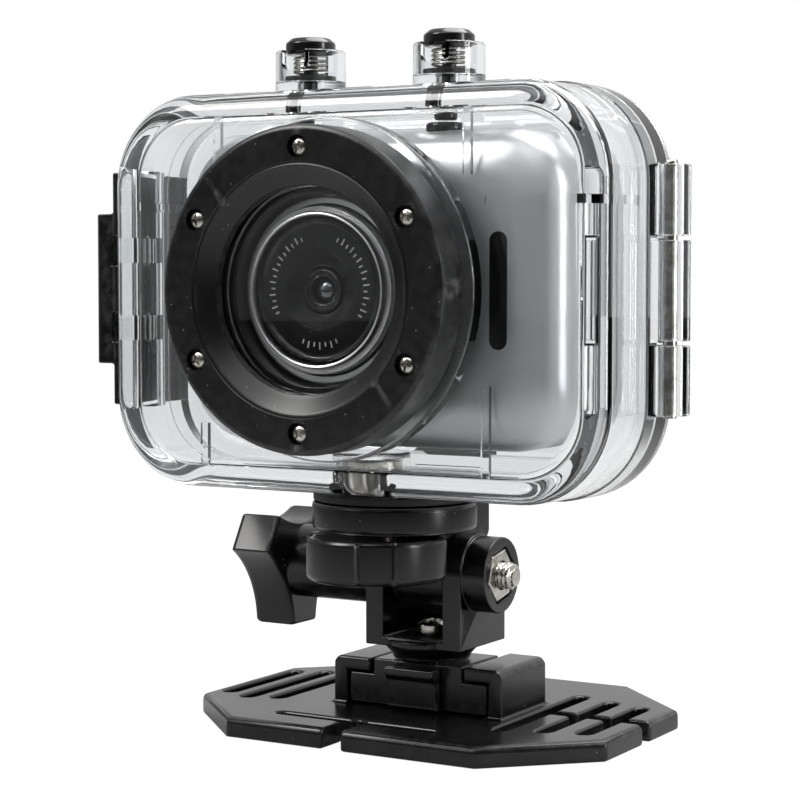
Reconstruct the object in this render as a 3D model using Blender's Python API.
"""Action camera in a clear dive case on a tilting strap plate. Metres, +Z up, lens faces -Y."""

import math

import bmesh
import bpy
from mathutils import Vector

MM = 0.001
GAP = 0.3 * MM

# strap plate and rails
PLATE_X = -1.2 * MM
PLATE_HALF_W = 33.6 * MM
PLATE_FRONT = -22.0 * MM
PLATE_BACK = 28.6 * MM
PLATE_CHAMFER_X = 13.5 * MM
PLATE_CHAMFER_Y = 13.0 * MM
PLATE_T = 3.0 * MM
SLOT_W = 2.4 * MM
RAIL_OUT = 14.0 * MM
RAIL_WALL = 2.3 * MM
RAIL_LIP = 6.3 * MM
RAIL_H = 7.0 * MM
RAIL_LIP_T = 2.0 * MM
RAIL_FRONT = -4.8 * MM
RAIL_BACK = 9.5 * MM

# buckle and clevis
BUCKLE_FRONT = -4.4 * MM
TAB_W = 8.0 * MM
TAB_T = 1.6 * MM
NECK_R = 7.1 * MM
NECK_BASE_R = 5.7 * MM
CLEVIS_BASE_Z = PLATE_T + RAIL_H + 2.3 * MM
CLEVIS_FLOOR = 1.3 * MM
CLEVIS_W = 15.7 * MM
CLEVIS_D = 11.7 * MM
CLEVIS_BACK = 8.1 * MM
BACK_WALL_T = 1.9 * MM
BACK_WALL_H = 5.2 * MM
EAR_T = 2.9 * MM
PIVOT_Z = 23.0 * MM
BOLT_R = 2.0 * MM
NUT_AF = 7.0 * MM
NUT_T = 3.2 * MM
NUT_BOSS_R = 5.5 * MM
NUT_BOSS_L = 3.7 * MM
BOLT_PROUD = 2.3 * MM

# clamp knob
KNOB_TIP_R = 9.6 * MM
KNOB_VALLEY_R = 5.8 * MM
KNOB_LOBE_W = 6.0 * MM
KNOB_T = 7.0 * MM
KNOB_HUB_R = 5.5 * MM
KNOB_HUB_L = 13.9 * MM

# tilting arm, thumbwheel and tripod screw
DISC_R = 11.7 * MM
DISC_T = 4.3 * MM
DISC_Y = -10.8 * MM
WHEEL_Y = -15.7 * MM
WHEEL_R = 10.15 * MM
WHEEL_RECESS = 0.9 * MM
WHEEL_T = 6.3 * MM
WHEEL_RECESS_DIR = -60.0
ARM_W = 9.2 * MM
ARM_BACK = 9.4 * MM
BARREL_R = 5.1 * MM
CUSHION_T = 0.45 * MM
TRIPOD_R = 3.05 * MM

# case
ARM_RISE = 12.5 * MM
CASE_BOTTOM = PIVOT_Z + ARM_RISE
CASE_HALF_W = 39.7 * MM
CASE_HALF_H = 28.2 * MM
CASE_MID = CASE_BOTTOM + CASE_HALF_H
CASE_TOP = CASE_MID + CASE_HALF_H
CASE_CORNER = 13.5 * MM
SHELL_STEP = 0.3 * MM
CASE_FRONT = -25.5 * MM
FLANGE_FRONT = -13.0 * MM
SPLIT_Y = -10.1 * MM
CASE_BACK = -3.7 * MM
WALL = 2.2 * MM
CEILING_T = 3.6 * MM
LENS_X = -1.5 * MM
LENS_Z = CASE_MID + 0.3 * MM
INSERT_R = 4.1 * MM
INSERT_H = 4.6 * MM
FOOT_R = 5.2 * MM
RIB_T = 1.2 * MM
RIB_H = 0.7 * MM

# port and bezel
RING_R = 11.4 * MM
GLASS_R = RING_R + 4.4 * MM
PORT_BORE_R = GLASS_R - 1.6 * MM
PORT_TUBE_R = GLASS_R + 4.7 * MM
BOLT_CIRCLE_R = PORT_TUBE_R - 1.5 * MM
BEZEL_FRONT = -33.7 * MM
BEZEL_WALL = 1.2 * MM
BEZEL_R = PORT_TUBE_R + GAP + BEZEL_WALL
BEZEL_DEPTH = 7.0 * MM
BEZEL_FACE_T = 2.6 * MM
BEZEL_STEP_R = GLASS_R + 0.4 * MM
BEZEL_BORE_R = PORT_BORE_R - GAP
PORT_RIM_R = BEZEL_R + 1.3 * MM
SLEEVE_T = 0.9 * MM
GLASS_T = 1.5 * MM
SCREW_HEAD_R = 1.3 * MM
SCREW_R = 0.6 * MM
SCREW_L = 5.2 * MM

# hinge and latch
HINGE_X = CASE_HALF_W + 2.0 * MM
HINGE_R = 2.6 * MM
HINGE_HALF = 16.5 * MM
HINGE_MID = 6.9 * MM
PIN_R = 0.9 * MM
LATCH_PIN_X = -CASE_HALF_W - 0.7 * MM
LATCH_PIN_Y = -17.5 * MM
LATCH_PIN_R = 0.6 * MM
LATCH_KNUCKLE_R = 1.7 * MM
LUG_IN = 3.8 * MM
LUG_OUT = 7.4 * MM
LATCH_PLATE_T = 1.8 * MM
LATCH_PLATE_X = -CASE_HALF_W - 3.2 * MM
LATCH_FRONT = -20.1 * MM
LATCH_BACK = CASE_BACK - 0.5 * MM
LATCH_HALF = 17.0 * MM
LATCH_EDGE = 0.5 * MM
LEVER_T = 3.4 * MM
LEVER_HALF = 11.0 * MM

# push buttons
BUTTON_XS = {"left": -11.1 * MM, "right": 11.2 * MM}
BUTTON_Y = -15.2 * MM
GUARD_R = 4.9 * MM
GUARD_T = 1.0 * MM
GUARD_TOP = CASE_TOP + 5.5 * MM
CAP_R = 3.5 * MM
CAP_T = 2.3 * MM
CAP_TOP = GUARD_TOP + 1.8 * MM
STEM_R = 1.0 * MM
SPRING_R = 2.3 * MM
SPRING_WIRE = 0.2 * MM
SPRING_TURNS = 4
KEY_PROUD = 1.2 * MM

# camera
CAM_X = 1.8 * MM
CAM_ROOM_W = 9.7 * MM
CAM_ROOM_H = 6.7 * MM
CAM_HALF_W = CASE_HALF_W - CAM_ROOM_W
CAM_HALF_H = CASE_HALF_H - CAM_ROOM_H
CAM_CORNER = 9.0 * MM
CAM_WALL = 1.4 * MM
CAM_FRONT = -22.3 * MM
CAM_SPLIT = -11.0 * MM
CAM_BACK = -6.5 * MM
SCREEN_HALF_W = CAM_HALF_W - 8.3 * MM
SCREEN_HALF_H = CAM_HALF_H - 5.3 * MM
BOARD_ROOM_W = 4.0 * MM
BOARD_ROOM_H = 6.5 * MM
BATTERY_W = 15.0 * MM
RING_FRONT = -28.7 * MM
LENS_PLATE_R = RING_R - 1.8 * MM


def clear_scene():
    for obj in list(bpy.data.objects):
        bpy.data.objects.remove(obj, do_unlink=True)


def material(name, colour, roughness, metallic=0.0, transmission=0.0):
    mat = bpy.data.materials.get(name)
    if mat:
        return mat
    mat = bpy.data.materials.new(name)
    mat.use_nodes = True
    shader = mat.node_tree.nodes["Principled BSDF"]
    shader.inputs["Base Color"].default_value = (*colour, 1.0)
    shader.inputs["Roughness"].default_value = roughness
    shader.inputs["Metallic"].default_value = metallic
    shader.inputs["Transmission Weight"].default_value = transmission
    mat.diffuse_color = (*colour, 1.0)
    return mat


def make(name, verts, faces, mat=None, smooth=30.0):
    """A mesh object from points and faces, with its faces turned outwards."""
    mesh = bpy.data.meshes.new(name)
    mesh.from_pydata([tuple(v) for v in verts], [], faces)
    bm = bmesh.new()
    bm.from_mesh(mesh)
    bmesh.ops.recalc_face_normals(bm, faces=bm.faces)
    bm.to_mesh(mesh)
    bm.free()
    obj = bpy.data.objects.new(name, mesh)
    bpy.context.scene.collection.objects.link(obj)
    if mat:
        mesh.materials.append(mat)
    mesh.shade_smooth()
    mesh.set_sharp_from_angle(angle=math.radians(smooth))
    return obj


def set_origin(obj, point):
    """Moves the origin to the joint axis and leaves the shape where it is."""
    shift = Vector(point)
    for vertex in obj.data.vertices:
        vertex.co -= shift
    obj.location = shift
    return obj


def helper(obj):
    obj.hide_render = True
    obj.display_type = "WIRE"
    return obj


def boolean(target, operation, *others):
    for other in others:
        helper(other)
        mod = target.modifiers.new(operation.lower(), "BOOLEAN")
        mod.operation = operation
        mod.solver = "EXACT"
        mod.object = other
    return target


def cut(target, *others):
    return boolean(target, "DIFFERENCE", *others)


def join(target, *others):
    return boolean(target, "UNION", *others)


def frame_of(axis):
    """Two cross directions and the axis direction for a round or extruded piece."""
    if axis == "X":
        return Vector((0, 1, 0)), Vector((0, 0, 1)), Vector((1, 0, 0))
    if axis == "Y":
        return Vector((1, 0, 0)), Vector((0, 0, 1)), Vector((0, 1, 0))
    return Vector((1, 0, 0)), Vector((0, 1, 0)), Vector((0, 0, 1))


def loft(name, rings, mat=None, smooth=30.0, closed=False):
    """Joins rings that have the same number of points. Its ends are capped, or joined when closed."""
    count = len(rings[0])
    verts = [p for ring in rings for p in ring]
    faces = []
    pairs = len(rings) if closed else len(rings) - 1
    for i in range(pairs):
        a = i * count
        b = ((i + 1) % len(rings)) * count
        for j in range(count):
            k = (j + 1) % count
            faces.append((a + j, a + k, b + k, b + j))
    if not closed:
        faces.append(tuple(range(count)))
        last = (len(rings) - 1) * count
        faces.append(tuple(last + j for j in range(count)))
    return make(name, verts, faces, mat, smooth)


def lathe(name, profile, axis, centre, segs=32, mat=None, closed=False, smooth=30.0, turn=0.0):
    """Turns (radius, height along the axis) points about an axis through centre."""
    u, v, w = frame_of(axis)
    centre = Vector(centre)
    rings = []
    for radius, height in profile:
        ring = []
        for i in range(segs):
            a = 2 * math.pi * i / segs + turn
            ring.append(centre + u * radius * math.cos(a) + v * radius * math.sin(a) + w * height)
        rings.append(ring)
    return loft(name, rings, mat, smooth, closed)


def cylinder(name, radius, start, end, axis, centre, segs=32, mat=None, turn=0.0):
    return lathe(name, [(radius, start), (radius, end)], axis, centre, segs, mat, turn=turn)


def tube(name, outer, inner, start, end, axis, centre, segs=32, mat=None):
    profile = [(outer, start), (outer, end), (inner, end), (inner, start)]
    return lathe(name, profile, axis, centre, segs, mat, closed=True)


def prism(name, outline, start, end, axis, mat=None, centre=(0, 0, 0), smooth=30.0):
    u, v, w = frame_of(axis)
    centre = Vector(centre)
    rings = [[centre + u * a + v * b + w * t for a, b in outline] for t in (start, end)]
    return loft(name, rings, mat, smooth)


def box(name, low, high, mat=None):
    outline = [(low[0], low[1]), (high[0], low[1]), (high[0], high[1]), (low[0], high[1])]
    return prism(name, outline, low[2], high[2], "Z", mat)


def rounded(half_w, half_h, radius, corner_segs=6):
    """A rounded rectangle about the origin, anticlockwise."""
    points = []
    for index, (sx, sy) in enumerate(((1, 1), (-1, 1), (-1, -1), (1, -1))):
        for i in range(corner_segs + 1):
            a = math.radians(90 * (index + i / corner_segs))
            x = sx * (half_w - radius) + radius * math.cos(a)
            y = sy * (half_h - radius) + radius * math.sin(a)
            points.append((x, y))
    return points


def case_ring(y, half_w, half_h, radius, x=0.0, z=CASE_MID, corner_segs=6):
    return [(x + a, y, z + b) for a, b in rounded(half_w, half_h, radius, corner_segs)]


def inset_ring(y, inset, corner_segs=6):
    """The case outline drawn in by inset, at depth y."""
    radius = max(CASE_CORNER - inset, 2 * MM)
    return case_ring(y, CASE_HALF_W - inset, CASE_HALF_H - inset, radius, corner_segs=corner_segs)


def black_plastic():
    return material("black_plastic", (0.018, 0.018, 0.019), 0.42)


def clear_plastic():
    return material("clear_polycarbonate", (0.93, 0.95, 0.96), 0.04, transmission=1.0)


def steel():
    return material("nickel_steel", (0.62, 0.60, 0.56), 0.28, metallic=1.0)


def silver():
    return material("silver_paint", (0.60, 0.61, 0.63), 0.36, metallic=0.75)


def satin_black():
    return material("satin_black", (0.02, 0.02, 0.022), 0.38)


def silicone():
    return material("silicone_seal", (0.55, 0.56, 0.58), 0.5)


def rubber():
    return material("black_rubber", (0.025, 0.025, 0.026), 0.75)


def plate_outline(inset=0.0):
    w = PLATE_HALF_W - inset
    front = PLATE_FRONT + inset
    back = PLATE_BACK - inset
    cx = PLATE_CHAMFER_X - inset * 0.41
    cy = PLATE_CHAMFER_Y - inset * 0.41
    outline = [
        (-w + cx, front), (w - cx, front), (w, front + cy), (w, back - cy),
        (w - cx, back), (-w + cx, back), (-w, back - cy), (-w, front + cy),
    ]
    return [(PLATE_X + x, y) for x, y in outline]


def slot_cutter(name, start, end, width=SLOT_W):
    """A round-ended slot through the plate from start to end."""
    a = Vector((*start, 0))
    b = Vector((*end, 0))
    along = (b - a).normalized()
    heading = math.atan2(along.y, along.x)
    points = []
    for centre, base in ((b, heading - math.pi / 2), (a, heading + math.pi / 2)):
        for i in range(5):
            t = base + math.pi * i / 4
            points.append((centre.x + width / 2 * math.cos(t), centre.y + width / 2 * math.sin(t)))
    return prism(name, points, -1 * MM, PLATE_T + 1 * MM, "Z")


def strap_slots():
    """Slots that a strap is threaded through, some of them open to the plate's edge."""
    mid = (PLATE_FRONT + PLATE_BACK) / 2
    side = [
        (PLATE_HALF_W - 2.9 * MM, 9.0), (PLATE_HALF_W - 7.4 * MM, 11.0),
        (PLATE_HALF_W - 11.8 * MM, 9.5),
    ]
    cutters = []
    for i, (x, half) in enumerate(side):
        left = PLATE_X - x
        cutters.append(slot_cutter(f"slot_left_{i}", (left, mid - half * MM), (left, mid + half * MM)))
    edge = PLATE_X + PLATE_HALF_W
    xs = (RAIL_OUT + 2.4 * MM, RAIL_OUT + 8.2 * MM, edge - 4.8 * MM)
    halves = (13.0, 11.0, 9.5)
    for i, (x, half) in enumerate(zip(xs, halves)):
        cutters.append(slot_cutter(f"slot_right_{i}", (x, mid - half * MM), (x, mid + half * MM)))
    front = PLATE_FRONT + 6.6 * MM
    cutters.append(slot_cutter("slot_front", (-16.0 * MM, front), (8.5 * MM, front), SLOT_W * 0.8))
    cutters.append(
        slot_cutter("slit_front", (-3.8 * MM, PLATE_FRONT - 4 * MM), (-3.8 * MM, front), 3.0 * MM)
    )
    slit_y = mid + 1.0 * MM
    cutters.append(slot_cutter("slit_right", (xs[0], slit_y), (edge + 4 * MM, slit_y)))
    return cutters


def rail(name, side):
    """One C-shaped rail, open towards the middle."""
    wall = RAIL_OUT - RAIL_WALL
    lip = RAIL_OUT - RAIL_LIP
    base = PLATE_T - 0.5 * MM
    top = PLATE_T + RAIL_H
    under = top - RAIL_LIP_T
    outline = [
        (side * RAIL_OUT, base), (side * RAIL_OUT, top - 0.8 * MM), (side * (RAIL_OUT - 0.8 * MM), top),
        (side * lip, top), (side * lip, under), (side * wall, under), (side * wall, base),
    ]
    u = [(x, z) for x, z in outline]
    return prism(name, u, RAIL_FRONT, RAIL_BACK, "Y")


def build_base_plate():
    bevel = 0.6 * MM
    rings = [
        [(x, y, 0.0) for x, y in plate_outline(0.0)],
        [(x, y, PLATE_T - bevel) for x, y in plate_outline(0.0)],
        [(x, y, PLATE_T) for x, y in plate_outline(bevel)],
    ]
    plate = loft("base_plate", rings, black_plastic(), smooth=20)
    stop = box(
        "rail_stop",
        (-RAIL_OUT + 1.0 * MM, RAIL_BACK - 2.2 * MM, PLATE_T - 0.5 * MM),
        (RAIL_OUT - 1.0 * MM, RAIL_BACK - 0.2 * MM, PLATE_T + RAIL_H - 1.2 * MM),
    )
    join(plate, rail("rail_left", -1), rail("rail_right", 1), stop)
    cut(plate, *strap_slots())


def build_buckle():
    """The sled that slides into the rails, with a spring tongue at its front."""
    low = PLATE_T + GAP
    under_lip = PLATE_T + RAIL_H - RAIL_LIP_T - GAP
    top = PLATE_T + RAIL_H
    wide = RAIL_OUT - RAIL_WALL - GAP
    narrow = RAIL_OUT - RAIL_LIP - GAP
    outline = [
        (-wide, low), (wide, low), (wide, under_lip), (narrow, under_lip),
        (narrow, top), (-narrow, top), (-narrow, under_lip), (-wide, under_lip),
    ]
    back = RAIL_BACK - 2.2 * MM - GAP
    buckle = prism("buckle", outline, BUCKLE_FRONT, back, "Y", black_plastic())
    bore = cylinder("buckle_bore", 1.75 * MM, low - 1 * MM, top + 1 * MM, "Z", (0, 0, 0), 20)
    nut_seat = cylinder("buckle_nut_seat", 3.8 * MM, low - 1 * MM, low + 2.6 * MM, "Z", (0, 0, 0), 24)
    cut(buckle, bore, nut_seat)


def build_release_tab():
    """The catch at the buckle's front that is pulled forward to let it slide out."""
    y = BUCKLE_FRONT - GAP - TAB_T / 2
    z = PLATE_T + GAP + TAB_T / 2
    top = PLATE_T + RAIL_H - 0.6 * MM
    half = TAB_T / 2
    outline = []
    for i in range(7):
        a = math.pi + math.pi * i / 6
        outline.append((y + half * math.cos(a), z + half * math.sin(a)))
    outline += [
        (y + half, top), (y - half - 0.9 * MM, top), (y - half - 0.9 * MM, top - 1.0 * MM),
        (y - half, top - 1.9 * MM),
    ]
    tab = prism("release_tab", outline, -TAB_W / 2, TAB_W / 2, "X", black_plastic())
    set_origin(tab, (0, y, z))


def build_pan_joint():
    """The screw and nut that the clevis turns on."""
    floor = CLEVIS_BASE_Z + CLEVIS_FLOOR
    low = PLATE_T + GAP + 0.6 * MM
    profile = [
        (1.2 * MM, floor + 2.1 * MM), (2.3 * MM, floor + 1.5 * MM), (2.3 * MM, floor + GAP),
        (1.45 * MM, floor + GAP), (1.45 * MM, low),
    ]
    screw = lathe("pan_screw", profile, "Z", (0, 0, 0), 20, steel())
    cross_slots(screw, "pan_screw", (0, 0, floor + 2.1 * MM), "Z", 1.5 * MM, 0.5 * MM, 1.0 * MM)
    set_origin(screw, (0, 0, floor))
    nut = tube("pan_nut", 3.3 * MM, 2.0 * MM, low, low + 1.7 * MM, "Z", (0, 0, 0), 6, steel())
    set_origin(nut, (0, 0, low))


def cross_slots(target, name, tip, axis, reach, width, depth):
    """Cuts a cross recess into a screw head whose top is at tip."""
    u, v, w = frame_of(axis)
    tip = Vector(tip)
    cutters = []
    for i, (a, b) in enumerate(((reach, width / 2), (width / 2, reach))):
        outline = [(-a, -b), (a, -b), (a, b), (-a, b)]
        cutters.append(prism(f"{name}_slot_{i}", outline, -depth, 1 * MM, axis, centre=tip))
    cut(target, *cutters)


def build_clevis():
    """Two ears on a round neck, with a nut boss on the right ear."""
    half_d = CLEVIS_D / 2
    half_w = CLEVIS_W / 2
    wall_top = CLEVIS_BASE_Z + BACK_WALL_H
    outline = [(-half_d, CLEVIS_BASE_Z), (CLEVIS_BACK, CLEVIS_BASE_Z), (CLEVIS_BACK, wall_top)]
    for i in range(13):
        a = math.pi * i / 12
        outline.append((half_d * math.cos(a), PIVOT_Z + half_d * math.sin(a)))
    clevis = prism("clevis", outline, -half_w, half_w, "X", black_plastic())
    neck = lathe(
        "clevis_neck",
        [
            (NECK_BASE_R, PLATE_T + RAIL_H + GAP), (NECK_BASE_R, 10.8 * MM), (NECK_R, CLEVIS_BASE_Z),
            (NECK_R, CLEVIS_BASE_Z + CLEVIS_FLOOR * 0.7),
        ],
        "Z", (0, 0, 0), 32,
    )
    boss = cylinder(
        "clevis_boss", NUT_BOSS_R, half_w - 0.5 * MM, half_w + NUT_BOSS_L, "X", (0, 0, PIVOT_Z), 32
    )
    join(clevis, neck, boss)
    inner = half_w - EAR_T
    room_back = CLEVIS_BACK - BACK_WALL_T
    gap_box = box(
        "clevis_gap", (-inner, -9 * MM, CLEVIS_BASE_Z + CLEVIS_FLOOR), (inner, room_back, PIVOT_Z + 9 * MM)
    )
    back_gap = box(
        "clevis_back_gap", (-inner, room_back - 1 * MM, wall_top), (inner, 12 * MM, PIVOT_Z + 9 * MM),
    )
    bore = cylinder("clevis_bore", BOLT_R + 0.25 * MM, -12 * MM, 14 * MM, "X", (0, 0, PIVOT_Z), 20)
    pocket = cylinder(
        "clevis_nut_pocket", (NUT_AF / 2 + 0.2 * MM) / math.cos(math.pi / 6),
        half_w + NUT_BOSS_L - NUT_T - GAP, half_w + NUT_BOSS_L + 1 * MM, "X", (0, 0, PIVOT_Z), 6,
        turn=math.radians(12),
    )
    pan_bore = cylinder("clevis_pan_bore", 1.75 * MM, 5 * MM, 20 * MM, "Z", (0, 0, 0), 20)
    cut(clevis, gap_box, back_gap, bore, pocket, pan_bore)


def knob_outline():
    """Three lobes with shallow hollows between them, one lobe pointing straight down."""
    points = []
    corner = Vector((KNOB_TIP_R, KNOB_LOBE_W / 2))
    reach = corner.length
    half = math.pi / 3 - math.atan2(corner.y, corner.x)
    px = reach * math.cos(half)
    py = reach * math.sin(half)
    d = (px * px + py * py - KNOB_VALLEY_R**2) / (2 * (px - KNOB_VALLEY_R))
    sweep = math.atan2(py, d - px)
    radius = d - KNOB_VALLEY_R
    for lobe in range(3):
        base = -math.pi / 2 + lobe * 2 * math.pi / 3
        for side in (-1, 1):
            x = KNOB_TIP_R
            y = side * KNOB_LOBE_W / 2
            points.append(
                (x * math.cos(base) - y * math.sin(base), x * math.sin(base) + y * math.cos(base))
            )
        valley = base + math.pi / 3
        for i in range(1, 6):
            a = sweep * (i / 3 - 1)
            x = d - radius * math.cos(a)
            y = radius * math.sin(a)
            points.append(
                (x * math.cos(valley) - y * math.sin(valley), x * math.sin(valley) + y * math.cos(valley))
            )
    return points


def build_clamp():
    """Knob, bolt and nut that pinch the ears."""
    half_w = CLEVIS_W / 2
    ear = -half_w - GAP
    inner = ear - KNOB_HUB_L
    centre = (0, 0, PIVOT_Z)
    edge = 0.7 * MM
    shapes = []
    for offset, scale in ((0.0, 0.96), (-edge, 1.0), (-KNOB_T + edge, 1.0), (-KNOB_T, 0.93)):
        shapes.append([(inner + offset, y * scale, PIVOT_Z + z * scale) for y, z in knob_outline()])
    knob = loft("clamp_knob", shapes, black_plastic(), smooth=35)
    hub = lathe(
        "knob_hub",
        [(KNOB_HUB_R - 0.3 * MM, ear), (KNOB_HUB_R, ear - 1.5 * MM), (KNOB_HUB_R, inner + 2.5 * MM),
         (KNOB_HUB_R - 0.3 * MM, inner - 0.5 * MM)],
        "X", centre, 32,
    )
    join(knob, hub)
    bolt_bore = cylinder("knob_bore", BOLT_R + 0.2 * MM, inner - 3 * MM, 0, "X", centre, 20)
    cut(knob, bolt_bore)
    set_origin(knob, centre)
    end = half_w + NUT_BOSS_L + BOLT_PROUD
    bolt = lathe(
        "clamp_bolt",
        [(BOLT_R, inner - 2.5 * MM), (BOLT_R, end - 0.5 * MM), (BOLT_R - 0.5 * MM, end)],
        "X", centre, 20, steel(),
    )
    set_origin(bolt, centre)
    face = half_w + NUT_BOSS_L
    corner = NUT_AF / 2 / math.cos(math.pi / 6)
    nut = lathe(
        "clamp_nut",
        [(corner, face - NUT_T), (corner, face - 0.4 * MM), (corner - 0.45 * MM, face),
         (BOLT_R + 0.55 * MM, face), (BOLT_R + 0.55 * MM, face - NUT_T)],
        "X", centre, 6, steel(), closed=True, turn=math.radians(12),
    )
    set_origin(nut, centre)


def disc_top():
    return CASE_BOTTOM - GAP - CUSHION_T - GAP


def build_tilt_arm():
    """Round pad with a web that drops to the pivot barrel between the ears."""
    top = disc_top()
    low = top - DISC_T
    edge = 0.5 * MM
    arm = lathe(
        "tilt_arm",
        [(DISC_R - edge, low), (DISC_R, low + edge), (DISC_R, top - edge), (DISC_R - edge, top)],
        "Z", (0, DISC_Y, 0), 48, black_plastic(),
    )
    outline = [
        (-4.4 * MM, top), (ARM_BACK - 0.6 * MM, top), (ARM_BACK, top - 0.6 * MM), (
            ARM_BACK, PIVOT_Z + 5 * MM,
        ),
        (BARREL_R - 0.1 * MM, PIVOT_Z), (-BARREL_R + 0.1 * MM, PIVOT_Z), (-4.4 * MM, PIVOT_Z + 3 * MM),
    ]
    web = prism("arm_web", outline, -ARM_W / 2, ARM_W / 2, "X")
    barrel = cylinder(
        "arm_barrel", BARREL_R, -ARM_W / 2 + 0.05 * MM, ARM_W / 2 - 0.05 * MM, "X", (0, 0, PIVOT_Z), 32,
    )
    join(arm, web, barrel)
    bore = cylinder("arm_bore", BOLT_R + 0.25 * MM, -9 * MM, 9 * MM, "X", (0, 0, PIVOT_Z), 20)
    screw_bore = cylinder(
        "arm_screw_bore", TRIPOD_R + GAP, low - 1 * MM, top + 1 * MM, "Z", (0, WHEEL_Y, 0), 24,
    )
    cut(arm, bore, screw_bore)
    set_origin(arm, (0, 0, PIVOT_Z))
    cushion = cylinder(
        "pad_cushion", DISC_R - 0.2 * MM, top + GAP, top + GAP + CUSHION_T, "Z", (
            0, DISC_Y, 0,
        ), 40, rubber()
    )
    hole = cylinder(
        "cushion_hole", TRIPOD_R + 0.5 * MM, top - 1 * MM, CASE_BOTTOM, "Z", (0, WHEEL_Y, 0), 24,
    )
    cut(cushion, hole)


def wheel_outline(inset=0.0):
    points = []
    start = math.radians(WHEEL_RECESS_DIR)
    for lobe in range(4):
        base = start + lobe * math.pi / 2
        recess = math.radians(15)
        for t in (-1.0, -0.35, 0.35, 1.0):
            a = base + recess * t * 0.9
            r = WHEEL_R - WHEEL_RECESS - inset
            points.append((r * math.cos(a), r * math.sin(a)))
        for i in range(6):
            a = base + recess + math.radians(60) * i / 5
            r = WHEEL_R - inset
            points.append((r * math.cos(a), r * math.sin(a)))
    return points


def build_thumbwheel():
    """Lobed wheel that turns the tripod screw."""
    top = disc_top() - DISC_T - GAP
    low = top - WHEEL_T
    edge = 0.6 * MM
    rings = []
    for z, inset in ((low, edge), (low + edge, 0.0), (top - edge, 0.0), (top, edge)):
        rings.append([(x, WHEEL_Y + y, z) for x, y in wheel_outline(inset)])
    wheel = loft("thumbwheel", rings, black_plastic(), smooth=25)
    bore = cylinder("wheel_bore", TRIPOD_R + GAP, low - 1 * MM, top + 1 * MM, "Z", (0, WHEEL_Y, 0), 24)
    head_seat = cylinder(
        "wheel_head_seat", 5.2 * MM, low - 1 * MM, low + 2.4 * MM, "Z", (0, WHEEL_Y, 0), 32,
    )
    cut(wheel, bore, head_seat)
    set_origin(wheel, (0, WHEEL_Y, top))
    end = CASE_BOTTOM + GAP + INSERT_H
    profile = [
        (4.4 * MM, low + 0.5 * MM), (4.9 * MM, low + 0.9 * MM), (4.9 * MM, low + 2.0 * MM),
        (TRIPOD_R, low + 2.0 * MM), (TRIPOD_R, end - 0.6 * MM), (TRIPOD_R - 0.6 * MM, end),
    ]
    screw = lathe("tripod_screw", profile, "Z", (0, WHEEL_Y, 0), 24, steel())
    slot = box(
        "tripod_slot", (-6 * MM, WHEEL_Y - 0.7 * MM, low - 1 * MM),
        (6 * MM, WHEEL_Y + 0.7 * MM, low + 1.3 * MM),
    )
    cut(screw, slot)
    set_origin(screw, (0, WHEEL_Y, top))


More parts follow.
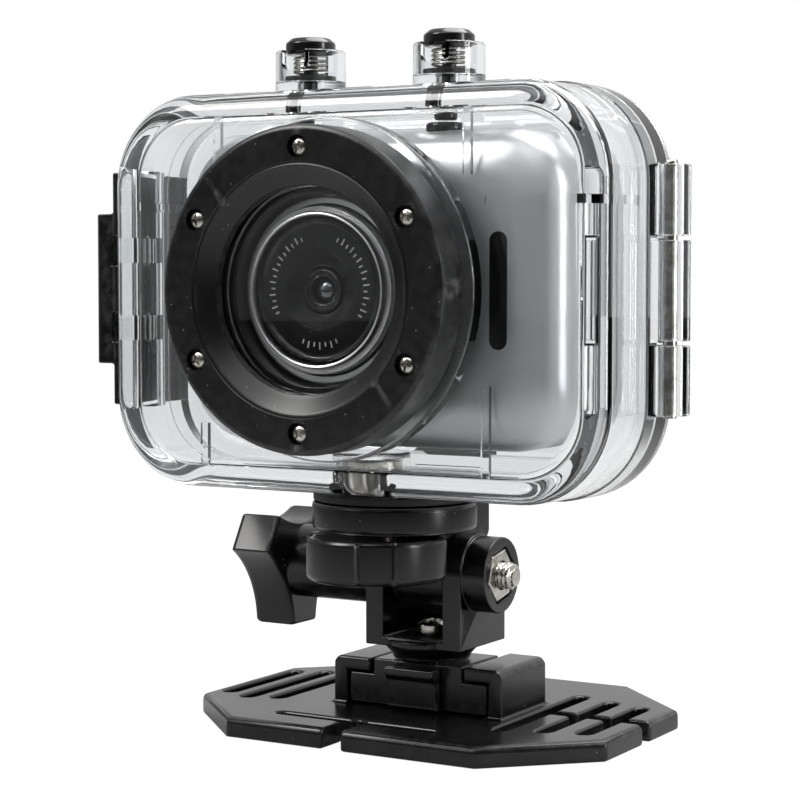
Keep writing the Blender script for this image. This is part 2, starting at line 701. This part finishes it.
def build_case_front():
    """Clear front shell with port tube, knuckles, button guards and a foot for the tripod screw."""
    rings = [
        case_ring(CASE_FRONT, CASE_HALF_W - 4.6 * MM, CASE_HALF_H - 3.8 * MM, 9.8 * MM),
        case_ring(CASE_FRONT + 0.5 * MM, CASE_HALF_W - 3.0 * MM, CASE_HALF_H - 2.2 * MM, 11.2 * MM),
        case_ring(CASE_FRONT + 1.5 * MM, CASE_HALF_W - 1.3 * MM, CASE_HALF_H - 1.0 * MM, 12.4 * MM),
        case_ring(CASE_FRONT + 3.0 * MM, CASE_HALF_W - 0.5 * MM, CASE_HALF_H - 0.45 * MM, 13.1 * MM),
        inset_ring(FLANGE_FRONT, SHELL_STEP),
        inset_ring(FLANGE_FRONT + 0.3 * MM, 0.0),
        inset_ring(SPLIT_Y, 0.0),
    ]
    shell = loft("case_front", rings, clear_plastic(), smooth=32)
    reach_x = LATCH_PIN_X - LATCH_PLATE_X - LATCH_EDGE
    relief_r = math.hypot(reach_x, LATCH_PIN_Y - LATCH_FRONT) + GAP
    low, high = (LENS_Z + sign * (LATCH_HALF + GAP) for sign in (-1, 1))
    relief = cylinder("latch_relief", relief_r, low, high, "Z", (LATCH_PIN_X, LATCH_PIN_Y, 0), 32)
    cut(shell, relief)
    boss = CASE_BOTTOM
    rim = cylinder(
        "port_rim", PORT_RIM_R, BEZEL_FRONT + BEZEL_DEPTH + GAP, CASE_FRONT + 1 * MM, "Y",
        (LENS_X, 0, LENS_Z), 56,
    )
    port = cylinder(
        "port_tube", PORT_TUBE_R, BEZEL_FRONT + BEZEL_FACE_T + GAP, CASE_FRONT + 1 * MM, "Y",
        (LENS_X, 0, LENS_Z), 56,
    )
    foot = cylinder("case_foot", FOOT_R, boss, boss + INSERT_H + 1.4 * MM, "Z", (0, WHEEL_Y, 0), 32)
    added = [rim, port]
    for side, x in BUTTON_XS.items():
        top = CASE_TOP - 3.0 * MM
        added.append(cylinder(f"guard_{side}", GUARD_R, top, GUARD_TOP, "Z", (x, BUTTON_Y, 0), 28))
    for part, low, high in (
        ("upper", HINGE_MID + GAP, HINGE_HALF), ("lower", -HINGE_HALF, -HINGE_MID - GAP),
    ):
        added.append(hinge_knuckle(f"front_knuckle_{part}", LENS_Z + low, LENS_Z + high, -1))
    for part, sign in (("upper", 1), ("lower", -1)):
        added.append(latch_lug(f"latch_lug_{part}", sign))
    join(shell, *added)
    depth = CASE_FRONT + WALL
    inner = 4.5 * MM
    cavity = loft(
        "case_cavity",
        [
            case_ring(depth, CASE_HALF_W - inner - 1.0 * MM, CASE_HALF_H - inner + 0.2 * MM, 8.5 * MM),
            case_ring(depth + 0.8 * MM, CASE_HALF_W - inner, CASE_HALF_H - inner + 0.9 * MM, 9.3 * MM),
            case_ring(SPLIT_Y + 1 * MM, CASE_HALF_W - inner, CASE_HALF_H - inner + 0.9 * MM, 9.3 * MM),
        ],
    )
    cut(shell, cavity)
    join(shell, foot, *locating_ribs())
    cutters = [
        cylinder("port_bore", PORT_BORE_R, BEZEL_FRONT, depth + 1 * MM, "Y", (LENS_X, 0, LENS_Z), 48),
        cylinder(
            "port_pocket", GLASS_R + GAP, BEZEL_FRONT, BEZEL_FRONT + 5.4 * MM, "Y",
            (LENS_X, 0, LENS_Z), 48,
        ),
        cylinder(
            "insert_room", INSERT_R + GAP, boss - 1 * MM, boss + INSERT_H + 2 * GAP, "Z",
            (0, WHEEL_Y, 0), 28,
        ),
        cylinder(
            "hinge_room", HINGE_R + GAP, LENS_Z - HINGE_MID, LENS_Z + HINGE_MID, "Z",
            (HINGE_X, SPLIT_Y, 0), 24,
        ),
        cylinder(
            "front_pin_bore", PIN_R + 0.15 * MM, LENS_Z - HINGE_HALF - 3.5 * MM,
            LENS_Z + HINGE_HALF + 3.5 * MM, "Z", (HINGE_X, SPLIT_Y, 0), 16,
        ),
        cylinder(
            "latch_pin_bore", LATCH_PIN_R + 0.15 * MM, LENS_Z - LUG_OUT - 4.6 * MM,
            LENS_Z + LUG_OUT + 4.6 * MM, "Z", (LATCH_PIN_X, LATCH_PIN_Y, 0), 12,
        ),
    ]
    for i in range(6):
        a = math.radians(30 + 60 * i)
        x = LENS_X + BOLT_CIRCLE_R * math.cos(a)
        z = LENS_Z + BOLT_CIRCLE_R * math.sin(a)
        cutters.append(
            cylinder(
                f"pilot_{i}", SCREW_R + 0.15 * MM, BEZEL_FRONT, CASE_FRONT - 1.5 * MM, "Y", (x, 0, z),
                10,
            )
        )
    for side, x in BUTTON_XS.items():
        cutters += guard_cutters(side, x)
    cut(shell, *cutters)


def locating_ribs():
    """Ribs inside the front that stop the camera from shifting."""
    y = CASE_FRONT + WALL
    back = y + RIB_H
    top = CASE_TOP - 3.0 * MM
    low = CASE_BOTTOM + 3.0 * MM
    wall = CASE_HALF_W - 4.0 * MM
    spans = (
        (
            "rib_top_left", -20.9 * MM, top - 8.5 * MM, top,
        ), ("rib_top_right", 18.8 * MM, top - 9.5 * MM, top),
        ("rib_low_left", -23.3 * MM, low, low + 6.5 * MM), (
            "rib_low_right", 21.6 * MM, low, low + 12.8 * MM,
        ),
    )
    ribs = []
    for name, x, z0, z1 in spans:
        ribs.append(box(name, (x - RIB_T / 2, y - 0.5 * MM, z0), (x + RIB_T / 2, back, z1)))
    z = LENS_Z + 11.8 * MM
    for name, x0, x1 in (("rib_side_left", -wall, -28.4 * MM), ("rib_side_right", 21.5 * MM, wall)):
        ribs.append(box(name, (x0, y - 0.5 * MM, z - RIB_T / 2), (x1, back, z + RIB_T / 2)))
    for name, sign in (("rib_wall_left", -1), ("rib_wall_right", 1)):
        x0, x1 = sorted((sign * wall, sign * (wall - 0.5 * MM - RIB_H)))
        ribs.append(box(name, (x0, y - 0.4 * MM, z - RIB_T / 2), (x1, SPLIT_Y - 1.9 * MM, z + RIB_T / 2)))
    return ribs


def guard_cutters(side, x):
    """The well, the stem hole and the four finger notches of a button guard."""
    seat = CASE_TOP + 1.0 * MM
    well = cylinder(f"well_{side}", GUARD_R - GUARD_T, seat, GUARD_TOP + 1 * MM, "Z", (x, BUTTON_Y, 0), 28)
    hole = cylinder(
        f"stem_hole_{side}", STEM_R + 0.25 * MM, seat - 9 * MM, seat + 1 * MM, "Z", (x, BUTTON_Y, 0),
        16,
    )
    notch = box(
        f"notch_{side}", (x - 1.9 * MM, BUTTON_Y - 9 * MM, seat + 1.6 * MM), (
            x + 1.9 * MM, BUTTON_Y + 9 * MM, GUARD_TOP + 1 * MM,
        )
    )
    return [well, hole, notch]


def hinge_knuckle(name, low, high, side):
    """A knuckle about the hinge pin, with a root on the shell's side (-1) or the door's side (1)."""
    root = CASE_HALF_W - 1.0 * MM
    knuckle = cylinder(name, HINGE_R, low, high, "Z", (HINGE_X, SPLIT_Y, 0), 20)
    near = SPLIT_Y + (GAP if side > 0 else 0.0)
    far = SPLIT_Y + side * (HINGE_R - 0.2 * MM)
    arm = box(f"{name}_root", (root, min(near, far), low), (HINGE_X - 0.5 * MM, max(near, far), high))
    return join(knuckle, arm)


def latch_lug(name, sign):
    low, high = sorted((LENS_Z + sign * LUG_IN, LENS_Z + sign * LUG_OUT))
    outline = [
        (-CASE_HALF_W + 4.0 * MM, LATCH_PIN_Y - LATCH_KNUCKLE_R),
        (-CASE_HALF_W + 4.0 * MM, LATCH_PIN_Y + LATCH_KNUCKLE_R),
    ]
    for i in range(9):
        a = math.radians(90 + 180 * i / 8)
        outline.append(
            (LATCH_PIN_X + LATCH_KNUCKLE_R * math.cos(a), LATCH_PIN_Y + LATCH_KNUCKLE_R * math.sin(a))
        )
    return prism(name, outline, low, high, "Z")


def build_case_door():
    """Clear rear door with a rim that enters the shell and a groove for the seal."""
    front = SPLIT_Y + GAP
    rings = [
        inset_ring(front, 0.0),
        inset_ring(CASE_BACK - 1.9 * MM, 0.0),
        inset_ring(CASE_BACK - 0.6 * MM, 0.8 * MM),
        inset_ring(CASE_BACK, 2.2 * MM),
    ]
    door = loft("case_door", rings, clear_plastic(), smooth=32)
    plug = loft(
        "door_plug",
        [
            case_ring(front - 1.6 * MM, CASE_HALF_W - 4.8 * MM, CASE_HALF_H - 3.9 * MM, 9.0 * MM),
            case_ring(front + 1.0 * MM, CASE_HALF_W - 4.8 * MM, CASE_HALF_H - 3.9 * MM, 9.0 * MM),
        ],
    )
    knuckle = hinge_knuckle("door_knuckle", LENS_Z - HINGE_MID + GAP, LENS_Z + HINGE_MID - GAP, 1)
    join(door, plug, knuckle)
    hollow = loft(
        "door_hollow",
        [
            case_ring(front - 3 * MM, CASE_HALF_W - 6.4 * MM, CASE_HALF_H - 5.5 * MM, 7.6 * MM),
            case_ring(CASE_BACK - WALL, CASE_HALF_W - 6.4 * MM, CASE_HALF_H - 5.5 * MM, 7.6 * MM),
        ],
    )
    groove = loft(
        "door_groove",
        [inset_ring(y, d) for y, d in seal_section(front, 0.15 * MM)],
        closed=True,
    )
    foot_room = cylinder(
        "door_foot_room", FOOT_R + GAP, CASE_BOTTOM, CASE_BOTTOM + 7 * MM, "Z", (0, WHEEL_Y, 0), 32,
    )
    cutters = [hollow, groove, foot_room]
    for part, low, high in (
        ("upper", HINGE_MID - GAP, HINGE_HALF + GAP), ("lower", -HINGE_HALF - GAP, -HINGE_MID + GAP),
    ):
        cutters.append(
            cylinder(
                f"door_room_{part}", HINGE_R + GAP, LENS_Z + low + GAP, LENS_Z + high, "Z",
                (HINGE_X, SPLIT_Y, 0), 24,
            )
        )
    cutters.append(
        cylinder(
            "door_pin_bore", PIN_R + 0.15 * MM, LENS_Z - HINGE_HALF - 3.5 * MM,
            LENS_Z + HINGE_HALF + 3.5 * MM, "Z", (HINGE_X, SPLIT_Y, 0), 16,
        )
    )
    cut(door, *cutters)
    set_origin(door, (HINGE_X, SPLIT_Y, LENS_Z))


def seal_section(front, grow):
    """Corners (y, inset) of the seal's section, grown a little for its groove."""
    low = front - 0.05 * MM - (0.5 * MM if grow else 0.0)
    high = front + 0.95 * MM + grow
    return [
        (low, 1.5 * MM - grow), (high, 1.5 * MM - grow), (high, 2.5 * MM + grow),
        (low, 2.5 * MM + grow),
    ]


def build_seals():
    front = SPLIT_Y + GAP
    section = [(y, d) for y, d in seal_section(front, 0.0)]
    seal = loft("door_seal", [inset_ring(y, d) for y, d in section], silicone(), closed=True)
    set_origin(seal, (HINGE_X, SPLIT_Y, LENS_Z))
    centre = (LENS_X, 0, LENS_Z)
    seat = BEZEL_FRONT + BEZEL_FACE_T + 0.4 * MM
    tube(
        "port_gasket", GLASS_R, PORT_BORE_R + GAP, seat + GLASS_T + 0.15 * MM, BEZEL_FRONT + 5.3 * MM,
        "Y", centre, 40, rubber(),
    )
    inside = CASE_FRONT + WALL
    sleeve_r = PORT_BORE_R - GAP
    sleeve = tube(
        "port_sleeve", sleeve_r, sleeve_r - SLEEVE_T, seat + GLASS_T + GAP, inside, "Y", centre, 40,
    )
    sleeve.data.materials.append(satin_black())
    cylinder(
        "port_glass", GLASS_R, seat, seat + GLASS_T, "Y", centre, 48,
        material("port_glass", (0.95, 0.97, 0.97), 0.02, transmission=1.0),
    )


def build_hinge_pin():
    top = LENS_Z + HINGE_HALF + 0.9 * MM
    low = LENS_Z - HINGE_HALF - 0.3 * MM
    profile = [(PIN_R, low), (PIN_R, top - 0.5 * MM), (PIN_R - 0.35 * MM, top)]
    pin = lathe("hinge_pin", profile, "Z", (HINGE_X, SPLIT_Y, 0), 16, steel())
    set_origin(pin, (HINGE_X, SPLIT_Y, LENS_Z))
    pin = cylinder(
        "latch_pin", LATCH_PIN_R, LENS_Z - LUG_OUT - 0.3 * MM, LENS_Z + LUG_OUT + 0.3 * MM, "Z", (
            LATCH_PIN_X, LATCH_PIN_Y, 0,
        ), 12, steel()
    )
    set_origin(pin, (LATCH_PIN_X, LATCH_PIN_Y, LENS_Z))


def build_latch():
    """Black plate that turns on the lugs, with a thicker finger lever on its outside."""
    inner = LATCH_PLATE_X + LATCH_PLATE_T
    edge = LATCH_EDGE
    outline = [
        (LATCH_PLATE_X + edge, LATCH_FRONT), (inner, LATCH_FRONT), (inner, LATCH_BACK),
        (LATCH_PLATE_X + edge, LATCH_BACK), (LATCH_PLATE_X, LATCH_BACK - edge), (
            LATCH_PLATE_X, LATCH_FRONT + edge,
        ),
    ]
    latch = prism("latch_lever", outline, LENS_Z - LATCH_HALF, LENS_Z + LATCH_HALF, "Z", black_plastic())
    out = LATCH_PLATE_X - LEVER_T
    lever_outline = [
        (
            LATCH_PLATE_X + 0.5 * MM, LATCH_FRONT + 0.4 * MM,
        ), (LATCH_PLATE_X + 0.5 * MM, LATCH_BACK - 1.5 * MM),
        (
            out + 1.2 * MM, LATCH_BACK - 1.8 * MM,
        ), (out, LATCH_BACK - 3.2 * MM), (out, LATCH_FRONT + 1.2 * MM),
        (out + 0.8 * MM, LATCH_FRONT + 0.4 * MM),
    ]
    lever = prism("latch_finger", lever_outline, LENS_Z - LEVER_HALF, LENS_Z + LEVER_HALF, "Z")
    points = []
    for i in range(9):
        a = math.radians(-90 + 180 * i / 8)
        points.append(
            (LATCH_PIN_X + LATCH_KNUCKLE_R * math.cos(a), LATCH_PIN_Y + LATCH_KNUCKLE_R * math.sin(a))
        )
    points += [
        (inner - 0.6 * MM, LATCH_PIN_Y + LATCH_KNUCKLE_R),
        (inner - 0.6 * MM, LATCH_PIN_Y - LATCH_KNUCKLE_R),
    ]
    knuckle = prism("latch_knuckle", points, LENS_Z - LUG_IN + GAP, LENS_Z + LUG_IN - GAP, "Z")
    join(latch, lever, knuckle)
    cutters = []
    for i, sign in enumerate((1, -1)):
        low, high = sorted((LENS_Z + sign * (LUG_IN - GAP), LENS_Z + sign * (LUG_OUT + GAP)))
        cutters.append(
            box(
                f"latch_window_{i}", (LATCH_PLATE_X - 0.2 * MM, LATCH_FRONT - 1 * MM, low),
                (inner + 1 * MM, LATCH_PIN_Y + 3.0 * MM, high),
            )
        )
    cutters.append(
        cylinder(
            "latch_bore", LATCH_PIN_R + 0.15 * MM, LENS_Z - LUG_OUT - 4.6 * MM,
            LENS_Z + LUG_OUT + 4.6 * MM, "Z", (LATCH_PIN_X, LATCH_PIN_Y, 0), 12,
        )
    )
    dimple = cylinder(
        "latch_dimple", 6.0 * MM, -4 * MM, 4 * MM, "Y",
        (out - 4.9 * MM, LATCH_FRONT + 7 * MM, LENS_Z - 6 * MM), 24,
    )
    cutters.append(dimple)
    cut(latch, *cutters)
    set_origin(latch, (LATCH_PIN_X, LATCH_PIN_Y, LENS_Z))


def build_bezel():
    """Black ring cap that clamps the port glass with six screws."""
    centre = (LENS_X, BEZEL_FRONT, LENS_Z)
    back = BEZEL_FACE_T
    profile = [
        (BEZEL_R, 0.8 * MM), (BEZEL_R - 0.2 * MM, 0.3 * MM), (BEZEL_R - 0.8 * MM, 0.0),
        (BEZEL_STEP_R + 0.15 * MM, 0.0), (BEZEL_STEP_R, 0.35 * MM),
        (BEZEL_BORE_R + 0.3 * MM, 1.5 * MM), (BEZEL_BORE_R, 2.0 * MM), (BEZEL_BORE_R, back),
        (PORT_TUBE_R + GAP, back), (PORT_TUBE_R + GAP, BEZEL_DEPTH), (BEZEL_R, BEZEL_DEPTH),
    ]
    bezel = lathe("lens_bezel", profile, "Y", centre, 48, satin_black(), closed=True)
    cutters = []
    for i in range(6):
        a = math.radians(30 + 60 * i)
        x = LENS_X + BOLT_CIRCLE_R * math.cos(a)
        z = LENS_Z + BOLT_CIRCLE_R * math.sin(a)
        cutters.append(
            cylinder(
                f"counterbore_{i}", SCREW_HEAD_R + 0.2 * MM, -1 * MM, 1.1 * MM, "Y",
                (x, BEZEL_FRONT, z), 16,
            )
        )
        cutters.append(
            cylinder(f"clearance_{i}", SCREW_R + 0.2 * MM, 0.5 * MM, 3.5 * MM, "Y", (x, BEZEL_FRONT, z), 10)
        )
        bezel_screw(i + 1, x, z)
    cut(bezel, *cutters)


def bezel_screw(number, x, z):
    name = f"bezel_screw_{number}"
    profile = [
        (0.75 * MM, 0.1 * MM), (1.15 * MM, 0.3 * MM), (SCREW_HEAD_R, 0.55 * MM), (SCREW_HEAD_R, 0.95 * MM),
        (SCREW_R, 0.95 * MM), (SCREW_R, SCREW_L),
    ]
    screw = lathe(name, profile, "Y", (x, BEZEL_FRONT, z), 12, steel())
    u = 0.75 * MM
    cutters = []
    for i, (a, b) in enumerate(((u, 0.17 * MM), (0.17 * MM, u))):
        outline = [(-a, -b), (a, -b), (a, b), (-a, b)]
        turned = []
        for p, q in outline:
            t = math.radians(25 * number)
            turned.append((p * math.cos(t) - q * math.sin(t), p * math.sin(t) + q * math.cos(t)))
        cutters.append(
            prism(f"{name}_slot_{i}", turned, -1 * MM, 0.6 * MM, "Y", centre=(x, BEZEL_FRONT, z))
        )
    cut(screw, *cutters)


def build_insert():
    boss = CASE_BOTTOM + GAP
    tube(
        "tripod_insert", INSERT_R, TRIPOD_R + 0.25 * MM, boss, boss + INSERT_H, "Z", (0, WHEEL_Y, 0),
        24, material("brass", (0.62, 0.45, 0.20), 0.35, metallic=1.0),
    )


def build_button(side, x):
    """Mushroom cap on a stem, its return spring and the seal disc below."""
    seat = CASE_TOP + 1.0 * MM
    tip = LENS_Z + CAM_HALF_H + KEY_PROUD + GAP
    under = CASE_TOP - CEILING_T - GAP
    profile = [
        (1.6 * MM, tip), (1.6 * MM, under), (STEM_R, under), (STEM_R, CAP_TOP - CAP_T),
        (
            CAP_R - 0.3 * MM, CAP_TOP - CAP_T,
        ), (CAP_R, CAP_TOP - CAP_T + 0.4 * MM), (CAP_R, CAP_TOP - 0.7 * MM),
        (CAP_R - 0.7 * MM, CAP_TOP),
    ]
    cap = lathe(f"button_{side}", profile, "Z", (x, BUTTON_Y, 0), 24, black_plastic())
    set_origin(cap, (x, BUTTON_Y, CAP_TOP))
    centre = (x, BUTTON_Y, 0)
    outer = GUARD_R - GUARD_T - GAP
    tube(
        f"button_seal_{side}", outer, STEM_R + 0.2 * MM, seat + 0.1 * MM, seat + 0.9 * MM, "Z", centre,
        24, rubber(),
    )
    low = seat + 1.0 * MM + SPRING_WIRE
    coil(f"button_spring_{side}", x, BUTTON_Y, low, CAP_TOP - CAP_T - 0.1 * MM - SPRING_WIRE)


def coil(name, x, y, low, high):
    """A coil spring between two heights."""
    sides = 5
    per_turn = 10
    count = SPRING_TURNS * per_turn
    rings = []
    for i in range(count + 1):
        t = i / count
        a = 2 * math.pi * SPRING_TURNS * t
        out = Vector((math.cos(a), math.sin(a), 0))
        centre = Vector((x, y, low + (high - low) * t)) + out * SPRING_R
        ring = []
        for j in range(sides):
            b = 2 * math.pi * j / sides
            ring.append(
                centre + out * SPRING_WIRE * math.cos(b) + Vector((0, 0, SPRING_WIRE * math.sin(b)))
            )
        rings.append(ring)
    return loft(name, rings, steel(), smooth=60)


def cam_ring(y, inset, radius=None, corner_segs=6):
    r = max(CAM_CORNER - inset, 1.5 * MM) if radius is None else radius
    return case_ring(y, CAM_HALF_W - inset, CAM_HALF_H - inset, r, CAM_X, LENS_Z, corner_segs)


def build_camera_shells():
    """Silver front shell with a crowned face, and a darker back shell with the screen window."""
    rings = [
        cam_ring(CAM_FRONT, 7.0 * MM, 4.5 * MM),
        cam_ring(CAM_FRONT + 0.5 * MM, 3.8 * MM, 6.5 * MM),
        cam_ring(CAM_FRONT + 1.6 * MM, 1.6 * MM, 8.0 * MM),
        cam_ring(CAM_FRONT + 3.6 * MM, 0.3 * MM),
        cam_ring(CAM_FRONT + 5.0 * MM, 0.0),
        cam_ring(CAM_SPLIT, 0.0),
    ]
    shell = loft("cam_front_shell", rings, silver(), smooth=40)
    barrel = cylinder(
        "cam_barrel", RING_R + 1.3 * MM, BEZEL_FRONT + 7.4 * MM, CAM_FRONT + 1 * MM, "Y",
        (LENS_X, 0, LENS_Z), 40,
    )
    join(shell, barrel)
    cavity = loft(
        "cam_cavity",
        [
            cam_ring(CAM_FRONT + 3.0 * MM, 3.0 * MM, 6.0 * MM),
            cam_ring(CAM_SPLIT + 1 * MM, CAM_WALL, 7.6 * MM),
        ],
    )
    lens_hole = cylinder(
        "cam_lens_hole", RING_R + GAP, BEZEL_FRONT, CAM_FRONT + 4 * MM, "Y", (LENS_X, 0, LENS_Z), 40,
    )
    cutters = [cavity, lens_hole]
    for side, x in BUTTON_XS.items():
        cutters.append(
            cylinder(
                f"cam_button_hole_{side}", 3.0 * MM, LENS_Z + CAM_HALF_H - 6.5 * MM,
                LENS_Z + CAM_HALF_H + 2.5 * MM, "Z", (x, BUTTON_Y, 0), 20,
            )
        )
    cut(shell, *cutters)
    back_rings = [
        cam_ring(CAM_SPLIT + GAP, 0.0),
        cam_ring(CAM_BACK - 2.0 * MM, 0.0),
        cam_ring(CAM_BACK - 0.6 * MM, 0.7 * MM),
        cam_ring(CAM_BACK, 2.0 * MM),
    ]
    back = loft("cam_back_shell", back_rings, silver(), smooth=40)
    back_cavity = loft(
        "cam_back_cavity",
        [
            cam_ring(CAM_SPLIT - 1 * MM, CAM_WALL, 7.6 * MM),
            cam_ring(CAM_BACK - CAM_WALL, CAM_WALL, 7.6 * MM),
        ],
    )
    window = loft(
        "cam_window",
        [
            case_ring(y, SCREEN_HALF_W + GAP, SCREEN_HALF_H + GAP, 1.5 * MM, CAM_X, LENS_Z, 3)
            for y in (CAM_BACK - 3 * MM, CAM_BACK + 1 * MM)
        ],
    )
    cut(back, back_cavity, window)


def build_camera_lens():
    """Silver trim ring, stepped black plate, lens barrel and the small front lens."""
    centre = (LENS_X, 0, LENS_Z)
    lathe(
        "cam_lens_ring",
        [(RING_R, RING_FRONT + 0.5 * MM), (RING_R - 0.4 * MM, RING_FRONT), (RING_R - 0.9 * MM, RING_FRONT),
         (
             LENS_PLATE_R + 0.35 * MM, RING_FRONT + 0.9 * MM,
         ), (LENS_PLATE_R + 0.35 * MM, RING_FRONT + 5.6 * MM),
         (RING_R, RING_FRONT + 5.6 * MM)],
        "Y", centre, 48, silver(), closed=True,
    )
    y = RING_FRONT + 0.7 * MM
    profile = [(LENS_PLATE_R, y + 2.6 * MM), (LENS_PLATE_R, y), (LENS_PLATE_R - 0.5 * MM, y)]
    step_r = LENS_PLATE_R - 0.9 * MM
    depth = y + 0.35 * MM
    profile += [(step_r, depth), (5.4 * MM, depth)]
    for r in (5.0, 4.4, 3.8):
        depth += 0.3 * MM
        profile += [(r * MM + 0.35 * MM, depth), (r * MM, depth)]
    profile += [(3.3 * MM, depth + 0.3 * MM), (3.3 * MM, y + 2.6 * MM)]
    gloss = material("gloss_black", (0.012, 0.012, 0.014), 0.14)
    lathe("cam_lens_plate", profile, "Y", centre, 32, gloss, closed=True)
    lathe(
        "cam_lens_barrel",
        [(3.0 * MM, y + 1.1 * MM), (2.6 * MM, y + 0.9 * MM),
         (2.2 * MM, y + 0.9 * MM), (1.75 * MM, y + 1.7 * MM),
         (1.75 * MM, y + 7.0 * MM), (3.0 * MM, y + 7.0 * MM)],
        "Y", centre, 32, gloss, closed=True,
    )
    dome = []
    for i in range(3):
        a = math.radians(15 + 60 * i / 2)
        dome.append((1.5 * MM * math.sin(a), y + 2.3 * MM - 0.7 * MM * math.cos(a)))
    dome += [(1.5 * MM, y + 2.4 * MM), (1.5 * MM, y + 3.6 * MM)]
    lathe(
        "cam_lens_glass", dome, "Y", centre, 20,
        material("lens_glass", (0.30, 0.34, 0.38), 0.03, transmission=0.6),
    )
    board = material("circuit_board", (0.02, 0.10, 0.06), 0.55)
    rear = y + 7.3 * MM
    box(
        "cam_sensor", (LENS_X - 6 * MM, rear, LENS_Z - 6 * MM),
        (LENS_X + 6 * MM, rear + 1.0 * MM, LENS_Z + 6 * MM), board,
    )


def build_camera_inside():
    """Main board, battery and the rear screen."""
    board = material("circuit_board", (0.02, 0.10, 0.06), 0.55)
    y = CAM_SPLIT - 0.8 * MM
    half_w = CAM_HALF_W - BOARD_ROOM_W
    half_h = CAM_HALF_H - BOARD_ROOM_H
    main = box(
        "cam_main_board", (CAM_X - half_w, y, LENS_Z - half_h), (
            CAM_X + half_w, y + 1.0 * MM, LENS_Z + half_h,
        ), board
    )
    chip = box(
        "cam_chip", (
            CAM_X - 14 * MM, y + 0.5 * MM, LENS_Z - 10 * MM,
        ), (CAM_X - 4 * MM, y + 1.9 * MM, LENS_Z)
    )
    join(main, chip)
    battery = material("battery_wrap", (0.10, 0.12, 0.20), 0.5)
    box(
        "cam_battery",
        (CAM_X + half_w - BATTERY_W, CAM_FRONT + 3.6 * MM, LENS_Z - half_h + 1.0 * MM),
        (CAM_X + half_w, y - GAP, LENS_Z + half_h - 1.0 * MM),
        battery,
    )
    screen = material("screen_glass", (0.01, 0.012, 0.015), 0.08)
    rings = [
        case_ring(y, SCREEN_HALF_W, SCREEN_HALF_H, 1.2 * MM, CAM_X, LENS_Z, 3)
        for y in (CAM_BACK - 3.0 * MM, CAM_BACK - 0.3 * MM)
    ]
    loft("cam_screen", rings, screen)


def build_camera_buttons():
    for side, x in BUTTON_XS.items():
        top = LENS_Z + CAM_HALF_H + KEY_PROUD
        profile = [
            (
                3.5 * MM, top - 5.0 * MM,
            ), (3.5 * MM, top - 4.2 * MM), (2.7 * MM, top - 4.2 * MM), (2.7 * MM, top - 0.3 * MM),
            (2.4 * MM, top),
        ]
        key = lathe(f"cam_button_{side}", profile, "Z", (x, BUTTON_Y, 0), 20, black_plastic())
        set_origin(key, (x, BUTTON_Y, top))


def build():
    clear_scene()
    build_base_plate()
    build_buckle()
    build_release_tab()
    build_pan_joint()
    build_clevis()
    build_clamp()
    build_tilt_arm()
    build_thumbwheel()
    build_case_front()
    build_case_door()
    build_seals()
    build_hinge_pin()
    build_latch()
    build_bezel()
    build_insert()
    for side, x in BUTTON_XS.items():
        build_button(side, x)
    build_camera_shells()
    build_camera_lens()
    build_camera_inside()
    build_camera_buttons()
    bpy.context.view_layer.update()


build()
